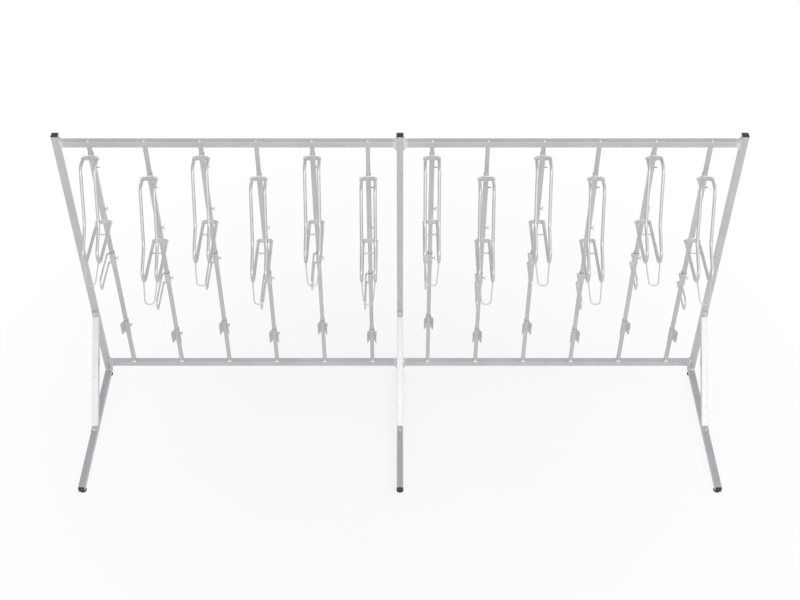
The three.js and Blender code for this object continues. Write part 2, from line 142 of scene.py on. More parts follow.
def arcs(corners, radii, step=math.radians(8)):
    """Straight runs between corners, with every inner corner rounded to its radius."""
    points = [Vector(c) for c in corners]
    path = [points[0]]
    for before, corner, after, radius in zip(points, points[1:], points[2:], radii):
        into = (corner - before).normalized()
        away = (after - corner).normalized()
        turn = into.angle(away)
        centre = corner + (away - into).normalized() * (radius / math.cos(turn / 2))
        axis = into.cross(away).normalized()
        spoke = corner - into * (radius * math.tan(turn / 2)) - centre
        steps = max(2, math.ceil(turn / step))
        path += [centre + Matrix.Rotation(turn * i / steps, 3, axis) @ spoke for i in range(steps + 1)]
    path.append(points[-1])
    return path


def densify(path, longest):
    """The same path with long runs split into shorter ones."""
    out = [path[0]]
    for a, b in zip(path, path[1:]):
        count = max(1, math.ceil((b - a).length / longest))
        out += [a.lerp(b, i / count) for i in range(1, count + 1)]
    return out


def circle(radius, sides):
    """Points around the origin."""
    angles = (2 * PI * k / sides for k in range(sides))
    return [Vector((radius * math.cos(a), radius * math.sin(a))) for a in angles]


def hexagon(across):
    """The outline of a hexagon, from its width across the flats."""
    return circle(across / math.sqrt(3), 6)


def rounded_square(side, radius, steps=4):
    """The outline of a square with rounded corners, anticlockwise around the origin."""
    flat = side / 2 - radius
    outline = []
    for quarter in range(4):
        start = quarter * PI / 2
        centre = Matrix.Rotation(start, 2) @ Vector((flat, flat))
        for i in range(steps + 1):
            angle = start + PI / 2 * i / steps
            outline.append(centre + radius * Vector((math.cos(angle), math.sin(angle))))
    return outline


def rounded_outline(corners, radii):
    """A closed outline whose corners are rounded to their radii."""
    flat = [Vector((x, y, 0)) for x, y in corners]
    outline = []
    for i, corner in enumerate(flat):
        before, after = flat[i - 1], flat[(i + 1) % len(flat)]
        if radii[i] == 0:
            outline.append(corner)
        else:
            outline += arcs((before, corner, after), (radii[i],), math.radians(18))[1:-1]
    return [p.xy for p in outline]


def rounded_plate(reach, half, corner):
    """The outline of a plate around the origin, with rounded corners."""
    corners = ((-reach, half), (-reach, -half), (reach, -half), (reach, half))
    return rounded_outline(corners, (corner,) * 4)


def inset(outline, amount):
    """The outline moved inwards by an amount."""
    moved = []
    for i, point in enumerate(outline):
        into = (point - outline[i - 1]).normalized()
        away = (outline[(i + 1) % len(outline)] - point).normalized()
        normal = Vector((-into.y - away.y, into.x + away.x)).normalized()
        slope = max(0.3, normal.dot(Vector((-into.y, into.x))))
        moved.append(point + normal * (amount / slope))
    return moved


def at_height(outline, height):
    """The points of an outline, all at one height."""
    return [Vector((p.x, p.y, height)) for p in outline]


def thread(root, crest, start, rise, count):
    """The profile of a screw's thread: radius and height, with crests and roots in turn."""
    return [(root if k % 2 else crest, start + k * rise) for k in range(count)]


def facing(axis):
    """The turn that lays the Z axis along another one."""
    turns = {"Z": (0, "Z"), "X": (PI / 2, "Y"), "-X": (-PI / 2, "Y"), "-Y": (PI / 2, "X")}
    angle, about = turns[axis]
    return Matrix.Rotation(angle, 4, about)


class Shell:
    """A piece made of several closed bodies. Its vertices are in millimetres."""

    def __init__(self):
        self.points = []
        self.faces = []

    def skin(self, loops, ring=False):
        """Joins loops of equally many points. A ring closes on itself, and anything else gets end faces."""
        base, size, count = len(self.points), len(loops[0]), len(loops)
        for loop in loops:
            self.points += [Vector(p) for p in loop]
        for j in range(count if ring else count - 1):
            a, b = base + j * size, base + (j + 1) % count * size
            for i in range(size):
                k = (i + 1) % size
                self.faces.append((a + i, a + k, b + k, b + i))
        if not ring:
            self.faces.append(tuple(reversed(range(base, base + size))))
            self.faces.append(tuple(range(base + (count - 1) * size, base + count * size)))

    def rod(self, path, radius, sides, round_end=0.5):
        """A round rod along a path, with its end edges rounded. The radius may be a function of the share
        of the path that lies behind."""
        last = len(path) - 1
        tangents = [(path[min(i + 1, last)] - path[max(i - 1, 0)]).normalized() for i in range(last + 1)]
        side = tangents[0].orthogonal().normalized()
        loops = []
        for i, (centre, tangent) in enumerate(zip(path, tangents)):
            side = (side - tangent * side.dot(tangent)).normalized()
            other = tangent.cross(side)
            size = radius(i / last) if callable(radius) else radius
            spokes = [p.x * side + p.y * other for p in circle(1, sides)]
            if i == 0:
                loops.append([centre + s * (size - round_end) for s in spokes])
                loops.append([centre + s * size + tangent * round_end for s in spokes])
            elif i == last:
                loops.append([centre + s * size - tangent * round_end for s in spokes])
                loops.append([centre + s * (size - round_end) for s in spokes])
            else:
                loops.append([centre + s * size for s in spokes])
        self.skin(loops)

    def turned(self, profile, foot, axis, sides):
        """A profile of (radius, height) turned about an axis that starts at its foot."""
        matrix = Matrix.Translation(foot) @ facing(axis)
        self.skin([[matrix @ p for p in at_height(circle(radius, sides), height)]
                   for radius, height in profile])

    def slab(self, outline, low, high, chamfer, matrix=Matrix.Identity(4)):
        """An outline given a thickness, with chamfered edges, then placed by a matrix."""
        inner = inset(outline, chamfer)
        levels = ((inner, low), (outline, low + chamfer), (outline, high - chamfer), (inner, high))
        self.skin([[matrix @ p for p in at_height(loop, z)] for loop, z in levels])

    def tube(self, outer, inner, low, high, chamfer):
        """A hollow tube between two outlines of equally many points."""
        rim = inset(outer, chamfer)
        levels = ((rim, low), (outer, low + chamfer), (outer, high - chamfer), (rim, high),
                  (inner, high), (inner, low))
        self.skin([at_height(loop, z) for loop, z in levels], ring=True)

    def bead(self, path, radius):
        """A weld bead: a rod whose thickness ripples."""
        fine = densify(path, radius * 0.6)
        count = len(fine) - 1

        def swell(t):
            ends = min(1, 6 * t + 0.45, 6 * (1 - t) + 0.45)
            return radius * ends * (1 + 0.13 * math.sin(t * count * 1.3))
        self.rod(fine, swell, 10, radius * 0.2)

    def bead_up(self, x, y, low, high, radius):
        """An upright weld bead."""
        self.bead([Vector((x, y, low)), Vector((x, y, high))], radius)

    def bead_around(self, centre, first, second, ring, radius, steps):
        """A weld bead around a rod, in the plane of two directions."""
        angles = (2 * PI * k / steps for k in range(steps + 1))
        self.bead([centre + ring * (math.cos(a) * first + math.sin(a) * second) for a in angles], radius)

    def fillet(self, start, end, out, up, leg):
        """A weld in an inner corner: a slightly convex slope with ripples, between two flat faces."""
        if out.cross(up).dot(end - start) < 0:
            start, end = end, start
        section = ((1, 0), (0.7, 0.42), (0.42, 0.7), (0, 1), (-0.12, -0.12))
        count = max(4, round((end - start).length / 1.2))
        loops = []
        for i in range(count + 1):
            t = i / count
            size = leg * min(1, 0.7 + 4 * min(t, 1 - t)) * (1 + 0.05 * math.sin(i * 1.7))
            loops.append([start.lerp(end, t) + (out * a + up * b) * size for a, b in section])
        self.skin(loops)

    def mesh(self, name, sharp=35):
        data = bpy.data.meshes.new(name)
        data.from_pydata([p * MM for p in self.points], [], self.faces)
        data.validate()
        for polygon in data.polygons:
            polygon.use_smooth = True
        data.set_sharp_from_angle(angle=math.radians(sharp))
        data.update()
        return data


def place(data, name, body, finish, where=(0, 0, 0), stands_for=()):
    """Puts a piece on its body. Every mesh has one finish, which its first piece brings."""
    piece = bpy.data.objects.new(name, data)
    bpy.context.scene.collection.objects.link(piece)
    piece.location = Vector(where) * MM
    if not data.materials:
        data.materials.append(finish.material)
    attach(piece, body)
    if stands_for:
        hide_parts(*stands_for)


# Materials.

class Nodes:
    """A node tree, with a short way to add and link its nodes."""

    def __init__(self, tree):
        self.tree = tree
        self.tree.nodes.clear()

    def link(self, a, b):
        self.tree.links.new(a, b)

    def node(self, kind, **values):
        """A node, with its own settings and its unlinked inputs given by name."""
        node = self.tree.nodes.new(kind)
        for key, value in values.items():
            if hasattr(node, key) and key not in node.inputs:
                setattr(node, key, value)
            else:
                node.inputs[key].default_value = value
        return node

    def feed(self, socket, value):
        """Links a socket to an output, or sets it to a plain value."""
        if isinstance(value, bpy.types.NodeSocket):
            self.link(value, socket)
        else:
            socket.default_value = value

    def ranged(self, value, low, high, start=0.0, end=1.0):
        """From low to high while the value goes from start to end."""
        node = self.node("ShaderNodeMapRange")
        for index, number in enumerate((value, start, end, low, high)):
            self.feed(node.inputs[index], number)
        return node.outputs[0]

    def calculate(self, operation, a, b=0.0):
        node = self.node("ShaderNodeMath", operation=operation)
        self.feed(node.inputs[0], a)
        self.feed(node.inputs[1], b)
        return node.outputs[0]

    def sum(self, a, b):
        return self.calculate("ADD", a, b)

    def product(self, a, b):
        return self.calculate("MULTIPLY", a, b)

    def distance(self, a, b):
        return self.calculate("ABSOLUTE", self.calculate("SUBTRACT", a, b))

    def position(self):
        """The three coordinates of a spot: in the rack on a piece of the CAD frame, and from the piece's
        own origin on one that this script makes."""
        coordinates = self.node("ShaderNodeTexCoord")
        split = self.node("ShaderNodeSeparateXYZ")
        self.link(coordinates.outputs["Object"], split.inputs[0])
        return split.outputs

    def sharp_rays(self):
        """1 for what the camera sees itself, in a reflection or through glass, and 0 for the rest."""
        rays = self.node("ShaderNodeLightPath").outputs
        total = rays["Is Camera Ray"]
        for kind in ("Is Glossy Ray", "Is Transmission Ray"):
            total = self.calculate("MAXIMUM", total, rays[kind])
        return total


class Finish(Nodes):
    """A material around one shader."""

    def __init__(self, name):
        self.material = bpy.data.materials.new(name)
        self.material.use_nodes = True
        super().__init__(self.material.node_tree)
        self.shader = self.node("ShaderNodeBsdfPrincipled")
        self.output = self.node("ShaderNodeOutputMaterial")
        self.link(self.shader.outputs[0], self.output.inputs["Surface"])
        self.vector = self.spread()

    def spread(self):
        """Object coordinates, shifted on every copy of a piece so that no two look alike."""
        coordinates = self.node("ShaderNodeTexCoord")
        info = self.node("ShaderNodeObjectInfo")
        shift = self.node("ShaderNodeVectorMath", operation="MULTIPLY")
        shift.inputs[1].default_value = (7.3, 3.1, 5.7)
        self.link(info.outputs["Random"], shift.inputs[0])
        total = self.node("ShaderNodeVectorMath", operation="ADD")
        self.link(coordinates.outputs["Object"], total.inputs[0])
        self.link(shift.outputs[0], total.inputs[1])
        return total.outputs[0]

    def noise(self, scale, detail):
        node = self.node("ShaderNodeTexNoise", Scale=scale, Detail=detail)
        self.link(self.vector, node.inputs["Vector"])
        return node.outputs["Fac"]

    def cells(self, scale):
        """A random value for every crystal of the zinc, with slightly wandering borders."""
        wander = self.node("ShaderNodeTexNoise", Scale=scale * 0.6)
        self.link(self.vector, wander.inputs["Vector"])
        warp = self.node("ShaderNodeVectorMath", operation="SCALE", Scale=0.012)
        self.link(wander.outputs["Color"], warp.inputs[0])
        total = self.node("ShaderNodeVectorMath", operation="ADD")
        self.link(self.vector, total.inputs[0])
        self.link(warp.outputs[0], total.inputs[1])
        node = self.node("ShaderNodeTexVoronoi", Scale=scale)
        self.link(total.outputs[0], node.inputs["Vector"])
        split = self.node("ShaderNodeSeparateColor")
        self.link(node.outputs["Color"], split.inputs[0])
        return split.outputs[0]

    def blend(self, factor, a, b):
        node = self.node("ShaderNodeMix", data_type="RGBA")
        for index, value in ((0, factor), (6, a), (7, b)):
            self.feed(node.inputs[index], value)
        return node.outputs[2]

    def edges(self, radius):
        """The rounded normal, and how far each place is from flat: 1 on an edge."""
        bevel = self.node("ShaderNodeBevel", samples=4, Radius=radius)
        geometry = self.node("ShaderNodeNewGeometry")
        dot = self.node("ShaderNodeVectorMath", operation="DOT_PRODUCT")
        self.link(bevel.outputs[0], dot.inputs[0])
        self.link(geometry.outputs["Normal"], dot.inputs[1])
        return bevel.outputs[0], self.ranged(dot.outputs["Value"], 1.0, 0.0, 0.86, 0.995)

    def bump(self, height, strength, distance, normal=None):
        node = self.node("ShaderNodeBump", Strength=strength, Distance=distance)
        self.link(height, node.inputs["Height"])
        if normal:
            self.link(normal, node.inputs["Normal"])
        return node.outputs[0]

    def paint(self, share, colour):
        """Lays a colour over the one that the shader has, by a share from 0 to 1."""
        base = self.shader.inputs["Base Color"]
        self.link(self.blend(share, base.links[0].from_socket, colour), base)


def zinc(name, dark, light, rough, spangle, metallic=0.9, edge=0.8 * MM):
    """Galvanised steel: crystals of zinc, cloudy runs, fine grain and bright worn edges."""
    f = Finish(name)
    crystal = f.cells(spangle)
    cloud = f.noise(5.5, 4)
    grain = f.noise(900, 2)
    tone = f.sum(f.sum(f.ranged(crystal, -0.2, 0.2), f.ranged(cloud, 0.1, 0.9, 0.3, 0.7)),
                 f.ranged(grain, -0.1, 0.1))
    normal, worn = f.edges(edge)
    f.link(f.blend(tone, dark, light), f.shader.inputs["Base Color"])
    f.paint(f.product(worn, 0.45), tuple(min(1, c * 1.12) for c in light[:3]) + (1,))
    f.shader.inputs["Metallic"].default_value = metallic
    roughness = f.sum(f.ranged(crystal, -0.05, 0.05),
                      f.ranged(cloud, rough - 0.04, rough + 0.05, 0.3, 0.7))
    f.link(roughness, f.shader.inputs["Roughness"])
    ripple = f.bump(f.noise(60, 3), 0.12, 0.4 * MM, normal)
    f.link(f.bump(grain, 0.16, 0.05 * MM, ripple), f.shader.inputs["Normal"])
    return f


def dusty(f, dark, light):
    """A colour that dust makes lighter in places, and where the dust lies."""
    dust = f.noise(14, 5)
    return f.blend(f.ranged(dust, 0.0, 0.8, 0.42, 0.68), dark, light), dust


def moulded(name, dark, light, rough, grain_scale):
    """Moulded plastic or rubber: a fine grain, dust in places and rubbed edges."""
    f = Finish(name)
    colour, dust = dusty(f, dark, light)
    normal, worn = f.edges(0.7 * MM)
    f.link(colour, f.shader.inputs["Base Color"])
    f.paint(f.product(worn, 0.5), tuple(min(1, c * 1.9) for c in light[:3]) + (1,))
    f.link(f.ranged(dust, rough - 0.08, rough + 0.1, 0.35, 0.65), f.shader.inputs["Roughness"])
    f.link(f.bump(f.noise(grain_scale, 3), 0.35, 0.12 * MM, normal), f.shader.inputs["Normal"])
    return f


def plated(name, dark, light, rough):
    """The thin, fine-grained zinc of bolts and screws."""
    return zinc(name, dark, light, rough, 260, edge=0.3 * MM)


def weld_zinc(name, dark, light, rough, metallic=0.9):
    return zinc(name, dark, light, rough, 400, metallic, edge=0.2 * MM)


BLACK = ((0.018, 0.018, 0.02, 1), (0.05, 0.05, 0.053, 1))

strut_zinc = zinc("galvanised_strut", (0.54, 0.544, 0.552, 1), (0.60, 0.604, 0.612, 1), 0.36, 95)
screw_zinc = plated("zinc_plated_screw", (0.55, 0.56, 0.575, 1), (0.68, 0.69, 0.705, 1), 0.32)
# Painted shade: a darker copy of the screw zinc, for the slanting screw whose wing catches the front lamp.
screw_zinc_painted_shade = plated("zinc_screw_painted_shade", (0.45, 0.452, 0.46, 1), (0.55, 0.552, 0.56, 1), 0.5)
# Painted light: plated zinc made lighter than the screws' to offset the shade around the bolts.
bolt_zinc_painted_light = plated("zinc_plated_bolt_painted_light", (0.72, 0.725, 0.735, 1), (0.82, 0.825, 0.835, 1), 0.38)
weld = weld_zinc("weld", (0.61, 0.615, 0.62, 1), (0.70, 0.705, 0.71, 1), 0.47)
# Partly painted highlight: real welds, near white so that they also stand for highlights on the holder's
# plates and arm ends.
weld_painted_highlight = weld_zinc("weld_with_painted_highlight", (0.88, 0.885, 0.89, 1), (0.96, 0.965, 0.97, 1), 0.5, 0.6)
plastic = moulded("black_plastic", *BLACK, 0.5, 1400)
grey_plastic = moulded("grey_plastic", (0.26, 0.261, 0.265, 1), (0.34, 0.341, 0.345, 1), 0.5, 1400)
# Painted shade: the grey of the band on the guides' collars, which stands for shade in a gap.
painted_shade_plastic = moulded("painted_shade_plastic", (0.42, 0.421, 0.425, 1), (0.52, 0.521, 0.525, 1), 0.5, 1400)
rubber = moulded("black_rubber", (0.012, 0.012, 0.013, 1), (0.035, 0.035, 0.036, 1), 0.72, 700)


def middle_and_half(node, axis):
    """The middle and the half length of a node along an axis."""
    low, high = (getattr(corner, axis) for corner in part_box(node))
    return (low + high) / 2, (high - low) / 2


def plugged_zinc():
    """The zinc of a foot, with the black plugs that close both its ends."""
    f = zinc("galvanised_foot", (0.44, 0.445, 0.455, 1), (0.515, 0.517, 0.525, 1), 0.42, 95)
    middle, half = middle_and_half("foot_centre", "y")
    away = f.distance(f.position()["Y"], middle)
    plug = f.calculate("GREATER_THAN", away, half - (PLUG_FLANGE + 0.2) * MM)
    f.paint(plug, dusty(f, *BLACK)[0])
    f.link(f.ranged(plug, 0.9, 0.0), f.shader.inputs["Metallic"])
    rough = f.shader.inputs["Roughness"]
    f.link(f.sum(rough.links[0].from_socket, f.product(plug, 0.12)), rough)
    return f


def seamed_zinc(name, measure, plain_at, pale_at):
    """The frame's zinc, pale and mottled where the measure of a spot nears a welded end."""
    f = zinc(name, (0.518, 0.519, 0.522, 1), (0.602, 0.603, 0.604, 1), 0.42, 95)
    near = f.ranged(measure(f, f.position()), 0.0, 1.0, plain_at, pale_at)
    blotch = f.ranged(f.noise(140, 3), 0.3, 1.0, 0.42, 0.58)
    f.paint(f.product(near, blotch), (0.78, 0.785, 0.79, 1))
    return f


def rail_zinc():
    """The zinc of both bays' rails, which end at the posts."""
    middle, half = middle_and_half("upper_rail_right", "x")

    def off_middle(f, spot):
        return f.distance(f.calculate("ABSOLUTE", spot["X"]), middle)
    return seamed_zinc("galvanised_rail", off_middle, half - 34 * MM, half - 14 * MM)


def post_zinc():
    """The zinc of the posts, which are welded at their feet."""
    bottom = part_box("post_right")[0].z

    def height(f, spot):
        return spot["Z"]
    return seamed_zinc("galvanised_post", height, bottom + 30 * MM, bottom + 14 * MM)


def painted_sheen_zinc(name, front, back, front_share, beyond):
    """The zinc of tubes and rods, with a painted highlight that makes them paler towards the back. Beyond is
    the axis, and the limit on it, past which the tube or rod begins."""
    f = zinc(name, (0.55, 0.552, 0.558, 1), (0.625, 0.627, 0.633, 1), 0.34, 140)
    axis, limit = beyond
    spot = f.position()
    near = f.ranged(spot["Y"], front_share, 0.65, front * MM, back * MM)
    # Painted highlight: the paler zinc towards the back stands in for light, not a change in the zinc.
    f.paint(f.product(near, f.calculate("LESS_THAN", spot[axis], limit * MM)), (0.72, 0.725, 0.735, 1))
    return f


def sheet_zinc_painted_light():
    """The zinc of a wheel guide's sheet, painted paler on the inner faces of its wings to offset the shade
    between them.
    """
    f = zinc("galvanised_sheet", (0.56, 0.562, 0.565, 1), (0.63, 0.631, 0.632, 1), 0.5, 95, metallic=0.3)
    spot = f.position()
    aside = f.calculate("ABSOLUTE", spot["X"])
    across = f.sum(aside, f.product(spot["Y"], WING_OUT / WING_FORWARD))
    inside = f.calculate("LESS_THAN", across, 5.75 * MM)
    ahead = f.calculate("LESS_THAN", spot["Y"], -17 * MM)
    near = f.ranged(aside, 1.0, 0.0, 19 * MM, 26 * MM)
    # Painted light: the inner faces of the wings are lighter, cancelling the shade in the channel between
    # them.
    f.paint(f.product(f.product(inside, ahead), near), (0.665, 0.667, 0.675, 1))
    return f


def dress(finish, *prefixes):
    for name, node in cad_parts.items():
        if name.startswith(prefixes):
            node.data.materials.clear()
            node.data.materials.append(finish.material)


dress(plugged_zinc(), "foot_")
dress(post_zinc(), "post_")
dress(rail_zinc(), "upper_rail_", "upright_comb_")
dress(strut_zinc, "strut_")


# Pieces that slide.

def sleeve(shell, low, high):
    outer = rounded_square(SLEEVE, SLEEVE_CORNER)
    inner = rounded_square(SLEEVE_INSIDE, SLEEVE_INSIDE_CORNER)
    shell.tube(outer, inner, low, high, 0.2)


def cross_plate(shell, height, spacer):
    """A plate across the arms, with a spacer between it and the sleeve, and the welds of both."""
    rear = SLEEVE_SIDE + spacer
    upright = Matrix.Translation((0, 0, height)) @ facing("-Y")
    plate = rounded_plate(CROSS_REACH, CROSS_HALF, CROSS_CORNER)
    shell.slab(plate, rear, rear + CROSS_THICKNESS, 0.6, upright)
    shell.slab(rounded_plate(SPACER_HALF, SPACER_HALF, 1), SLEEVE_SIDE - 1, rear + 0.5, 0.3, upright)
    low, high = height - SPACER_HALF + 1, height + SPACER_HALF - 1
    for side in (-1, 1):
        shell.bead_up(side * (SPACER_HALF + 0.2), SLEEVE_FRONT - 0.4, low, high, 1.6)
        shell.bead_up(side * (SPACER_HALF + 0.4), -rear + 0.4, low, high, 1.5)


def arm(shell, side):
    """One side of the holder: forward from the upper plate, down and out to the nose, and straight back."""
    x, flared = side * ARM_OFFSET, side * (ARM_OFFSET + ARM_FLARE)
    upper, lower = SLEEVE_FRONT - UPPER_SPACER, SLEEVE_FRONT - LOWER_SPACER
    corners = (
        (flared, upper - ARM_IN_PLATE, 0),
        (x, -ARM_SHOULDER, 0),
        (x, -ARM_KNEE, -ARM_KNEE_DROP),
        (x, -ARM_NOSE, -ARM_NOSE_DROP),
        (x, -ARM_NOSE, -HOLDER_DROP),
        (x, lower - ARM_IN_PLATE, -HOLDER_DROP),
    )
    shell.rod(densify(arcs(corners, ARM_BENDS), 40), ARM_RADIUS, 28, 0.8)
    before_plate = CROSS_THICKNESS + 0.7
    for centre in ((flared, upper - before_plate, 0), (x, lower - before_plate, -HOLDER_DROP)):
        shell.bead_around(Vector(centre), RIGHT, UP, ARM_RADIUS + 0.4, 2, 40)


def front_hook(shell):
    """A U of thin rod, in the slanting plane through the two noses."""
    def on_plane(x, reach):
        return HOOK_ROOT + RIGHT * x + HOOK_WAY * reach

    corners = (on_plane(-ARM_OFFSET, 0), on_plane(-HOOK_TIP_HALF, HOOK_LENGTH),
               on_plane(HOOK_TIP_HALF, HOOK_LENGTH), on_plane(ARM_OFFSET, 0))
    shell.rod(densify(arcs(corners, (HOOK_BEND, HOOK_BEND)), 30), HOOK_RADIUS, 18)
    for side in (-1, 1):
        root = on_plane(side * (ARM_OFFSET - 0.8), 8)
        shell.bead_around(root, RIGHT, HOOK_WAY.cross(RIGHT), HOOK_RADIUS + 0.8, 1.2, 24)


def stop_rod(shell):
    """A rod between the lower runs of the arms."""
    half = ARM_OFFSET - 6
    ends = [Vector((x, -STOP_ROD_REACH, -HOLDER_DROP)) for x in (-half, half)]
    shell.rod(densify(ends, 20), STOP_ROD_RADIUS, 18)
    for side in (-1, 1):
        root = Vector((side * (ARM_OFFSET - ARM_RADIUS + 0.6), -STOP_ROD_REACH, -HOLDER_DROP))
        shell.bead_around(root, BACK, UP, STOP_ROD_RADIUS + 0.2, 1.1, 24)


def holder_mesh():
    shell = Shell()
    sleeve(shell, -HOLDER_DROP - HOLDER_END, HOLDER_TOP)
    cross_plate(shell, 0, UPPER_SPACER)
    cross_plate(shell, -HOLDER_DROP, LOWER_SPACER)
    for side in (-1, 1):
        arm(shell, side)
    stop_rod(shell)
    front_hook(shell)
    return shell.mesh("wheel_holder")


def spacer_weld(shell, height, rear):
    """The weld that fills the top of a spacer, between the sleeve and the cross plate."""
    plate, wall = -rear - 3.4, SLEEVE_FRONT + 0.6
    section = ((plate, 15.0), (plate + 2, 15.7), (SLEEVE_FRONT - 5, 15.9), (SLEEVE_FRONT - 1, 15.8),
               (wall, 15.0), (wall, 13.4), (plate, 13.4))
    half, steps = 14.8, 24
    loops = []
    for i in range(steps + 1):
        x = half - 2 * half * i / steps
        swell = min(1, 0.55 + 3 * min(i, steps - i) / steps) * (1 + 0.06 * math.sin(i * 1.6))
        tops = ((y, SPACER_HALF + (z - SPACER_HALF) * swell if z > SPACER_HALF else z) for y, z in section)
        loops.append([Vector((x, y, height + z)) for y, z in tops])
    shell.skin(loops)


def arm_weld(shell, side, middle, y, height):
    """The thick part of an arm's weld, on the upper inner quarter of its end."""
    radius = ARM_RADIUS + 0.6
    angles = [math.radians(8 * k - 5) for k in range(14)]
    seam = [Vector((middle - side * radius * math.cos(a), y, height + radius * math.sin(a))) for a in angles]
    shell.bead(seam, 2.1)


def holder_weld_mesh():
    """The welds of a holder's two cross plates, near white so that they are also a painted highlight."""
    shell = Shell()
    for height, spacer, offset in ((0, UPPER_SPACER, ARM_OFFSET + ARM_FLARE),
                                   (-HOLDER_DROP, LOWER_SPACER, ARM_OFFSET)):
        rear = SLEEVE_SIDE + spacer
        spacer_weld(shell, height, rear)
        for side in (-1, 1):
            arm_weld(shell, side, side * offset, -rear - CROSS_THICKNESS - 1, height)
    return shell.mesh("holder_welds", 50)


# One half of the wings of a screw: across, away from the sleeve, and the radius of the corner.
HALF_WINGS = ((-3.8, 7, 0), (-3.8, 10, 3), (-14.8, 15, 2.2), (-14.8, 21, 2.6), (-9.4, 21, 2.6))
WING_DIP = (0, 13, 3)

# Turns an outline's first direction to Z, its second to X, away from the sleeve, and its thickness to Y.
SIDEWAYS = Matrix(((0, 1, 0, 0), (0, 0, 1, 0), (1, 0, 0, 0), (0, 0, 0, 1)))


def wing_screw_mesh(name, turn, nut, hub, thick):
    """A screw in the sleeve's right-hand wall: its weld nut, its threaded shank and its two wings."""
    shell = Shell()
    wall = Matrix.Translation((SLEEVE_SIDE, 0, 0))
    shell.slab(hexagon(nut), -0.4, 3, 0.4, wall @ facing("X"))
    shell.turned(thread(3.5, 4.0, -2, 0.36, 27), wall.translation, "X", 16)
    barrel = ((hub - 1, 5.0), (hub, 5.8), (hub, 12.4), (hub - 1, 13.8), (hub - 2.8, 14.4))
    shell.turned(barrel, wall.translation, "X", 20)
    mirrored = tuple((-x, y, radius) for x, y, radius in reversed(HALF_WINGS))
    corners = HALF_WINGS + (WING_DIP,) + mirrored
    wings = rounded_outline([corner[:2] for corner in corners], [corner[2] for corner in corners])
    turned = Matrix.Rotation(turn, 4, "X") @ wall @ SIDEWAYS
    shell.slab(wings[::-1], -thick / 2, thick / 2, 0.9, turned)
    return shell.mesh(name)


def glide_and_shade_band_mesh(name):
    """A thin ring that stands out of the top of a collar: a plastic glide on a lock, and on a guide a grey
    band painted in for the shade in the gap at the collar's top.
    """
    shell = Shell()
    outer = rounded_square(SLEEVE - 0.4, SLEEVE_CORNER + 0.2)
    shell.tube(outer, rounded_square(SLEEVE_INSIDE, SLEEVE_INSIDE_CORNER), 0, 1.5, 0.3)
    return shell.mesh(name)


def lock_mesh():
    """A collar with a hairpin of rod to its left."""
    shell = Shell()
    sleeve(shell, 0, COLLAR)
    corners = (
        (-LOOP_ROOT, 0, LOOP_HIGH),
        (-LOOP_OFFSET, 0, LOOP_HIGH),
        (-LOOP_OFFSET, -LOOP_REACH, LOOP_HIGH),
        (-LOOP_OFFSET, -LOOP_REACH, LOOP_LOW),
        (-LOOP_OFFSET, 0, LOOP_LOW),
        (-LOOP_ROOT, 0, LOOP_LOW),
    )
    bends = (LOOP_ROOT_BEND, LOOP_NOSE_BEND, LOOP_NOSE_BEND, LOOP_ROOT_BEND)
    shell.rod(densify(arcs(corners, bends), 30), LOOP_RADIUS, 22)
    for z in (LOOP_HIGH, LOOP_LOW):
        shell.bead_around(Vector((-SLEEVE_SIDE - 0.8, 0, z)), BACK, UP, LOOP_RADIUS + 0.3, 1.2, 30)
    return shell.mesh("lock_loop")


def guide_mesh():
    """A collar with two wings of bent sheet that flare away from its front."""
    shell = Shell()
    sleeve(shell, 0, COLLAR)
    length = math.hypot(WING_OUT, WING_FORWARD)
    corners = ((0, 0), (length, WING_TIP_BASE), (length, WING_TIP_TOP), (0, WING_FOLD_TOP))
    outline = rounded_outline(corners, (2, 5, 7, 2))
    for side in (-1, 1):
        fold = Matrix.Translation((side * WING_FOLD, SLEEVE_FRONT + 1, 0))
        flare = Matrix.Rotation(math.atan2(-WING_FORWARD, side * WING_OUT), 4, "Z")
        shell.slab(outline, -WING_THICKNESS / 2, WING_THICKNESS / 2, 0.5, fold @ flare @ facing("-Y"))
        for low in (8, 62):
            shell.bead_up(side * (SLEEVE_SIDE + 0.1), SLEEVE_FRONT - 0.4, low, low + 26, 1.5)
    return shell.mesh("wheel_guide")


def column_x(column):
    """The place along the rack of an upright, counted from 0 at the left."""
    bay, place_in_bay = divmod(column, COLUMNS_PER_BAY)
    return (bay - 0.5) * POST_PITCH + (place_in_bay - (COLUMNS_PER_BAY - 1) / 2) * COLUMN_PITCH


tall_screw = wing_screw_mesh("wing_screw_tall", 0, 13, 5.2, 4.2)
slanting_screw = wing_screw_mesh("wing_screw_slanting", 0.29 * PI, 9, 4.3, 5.4)

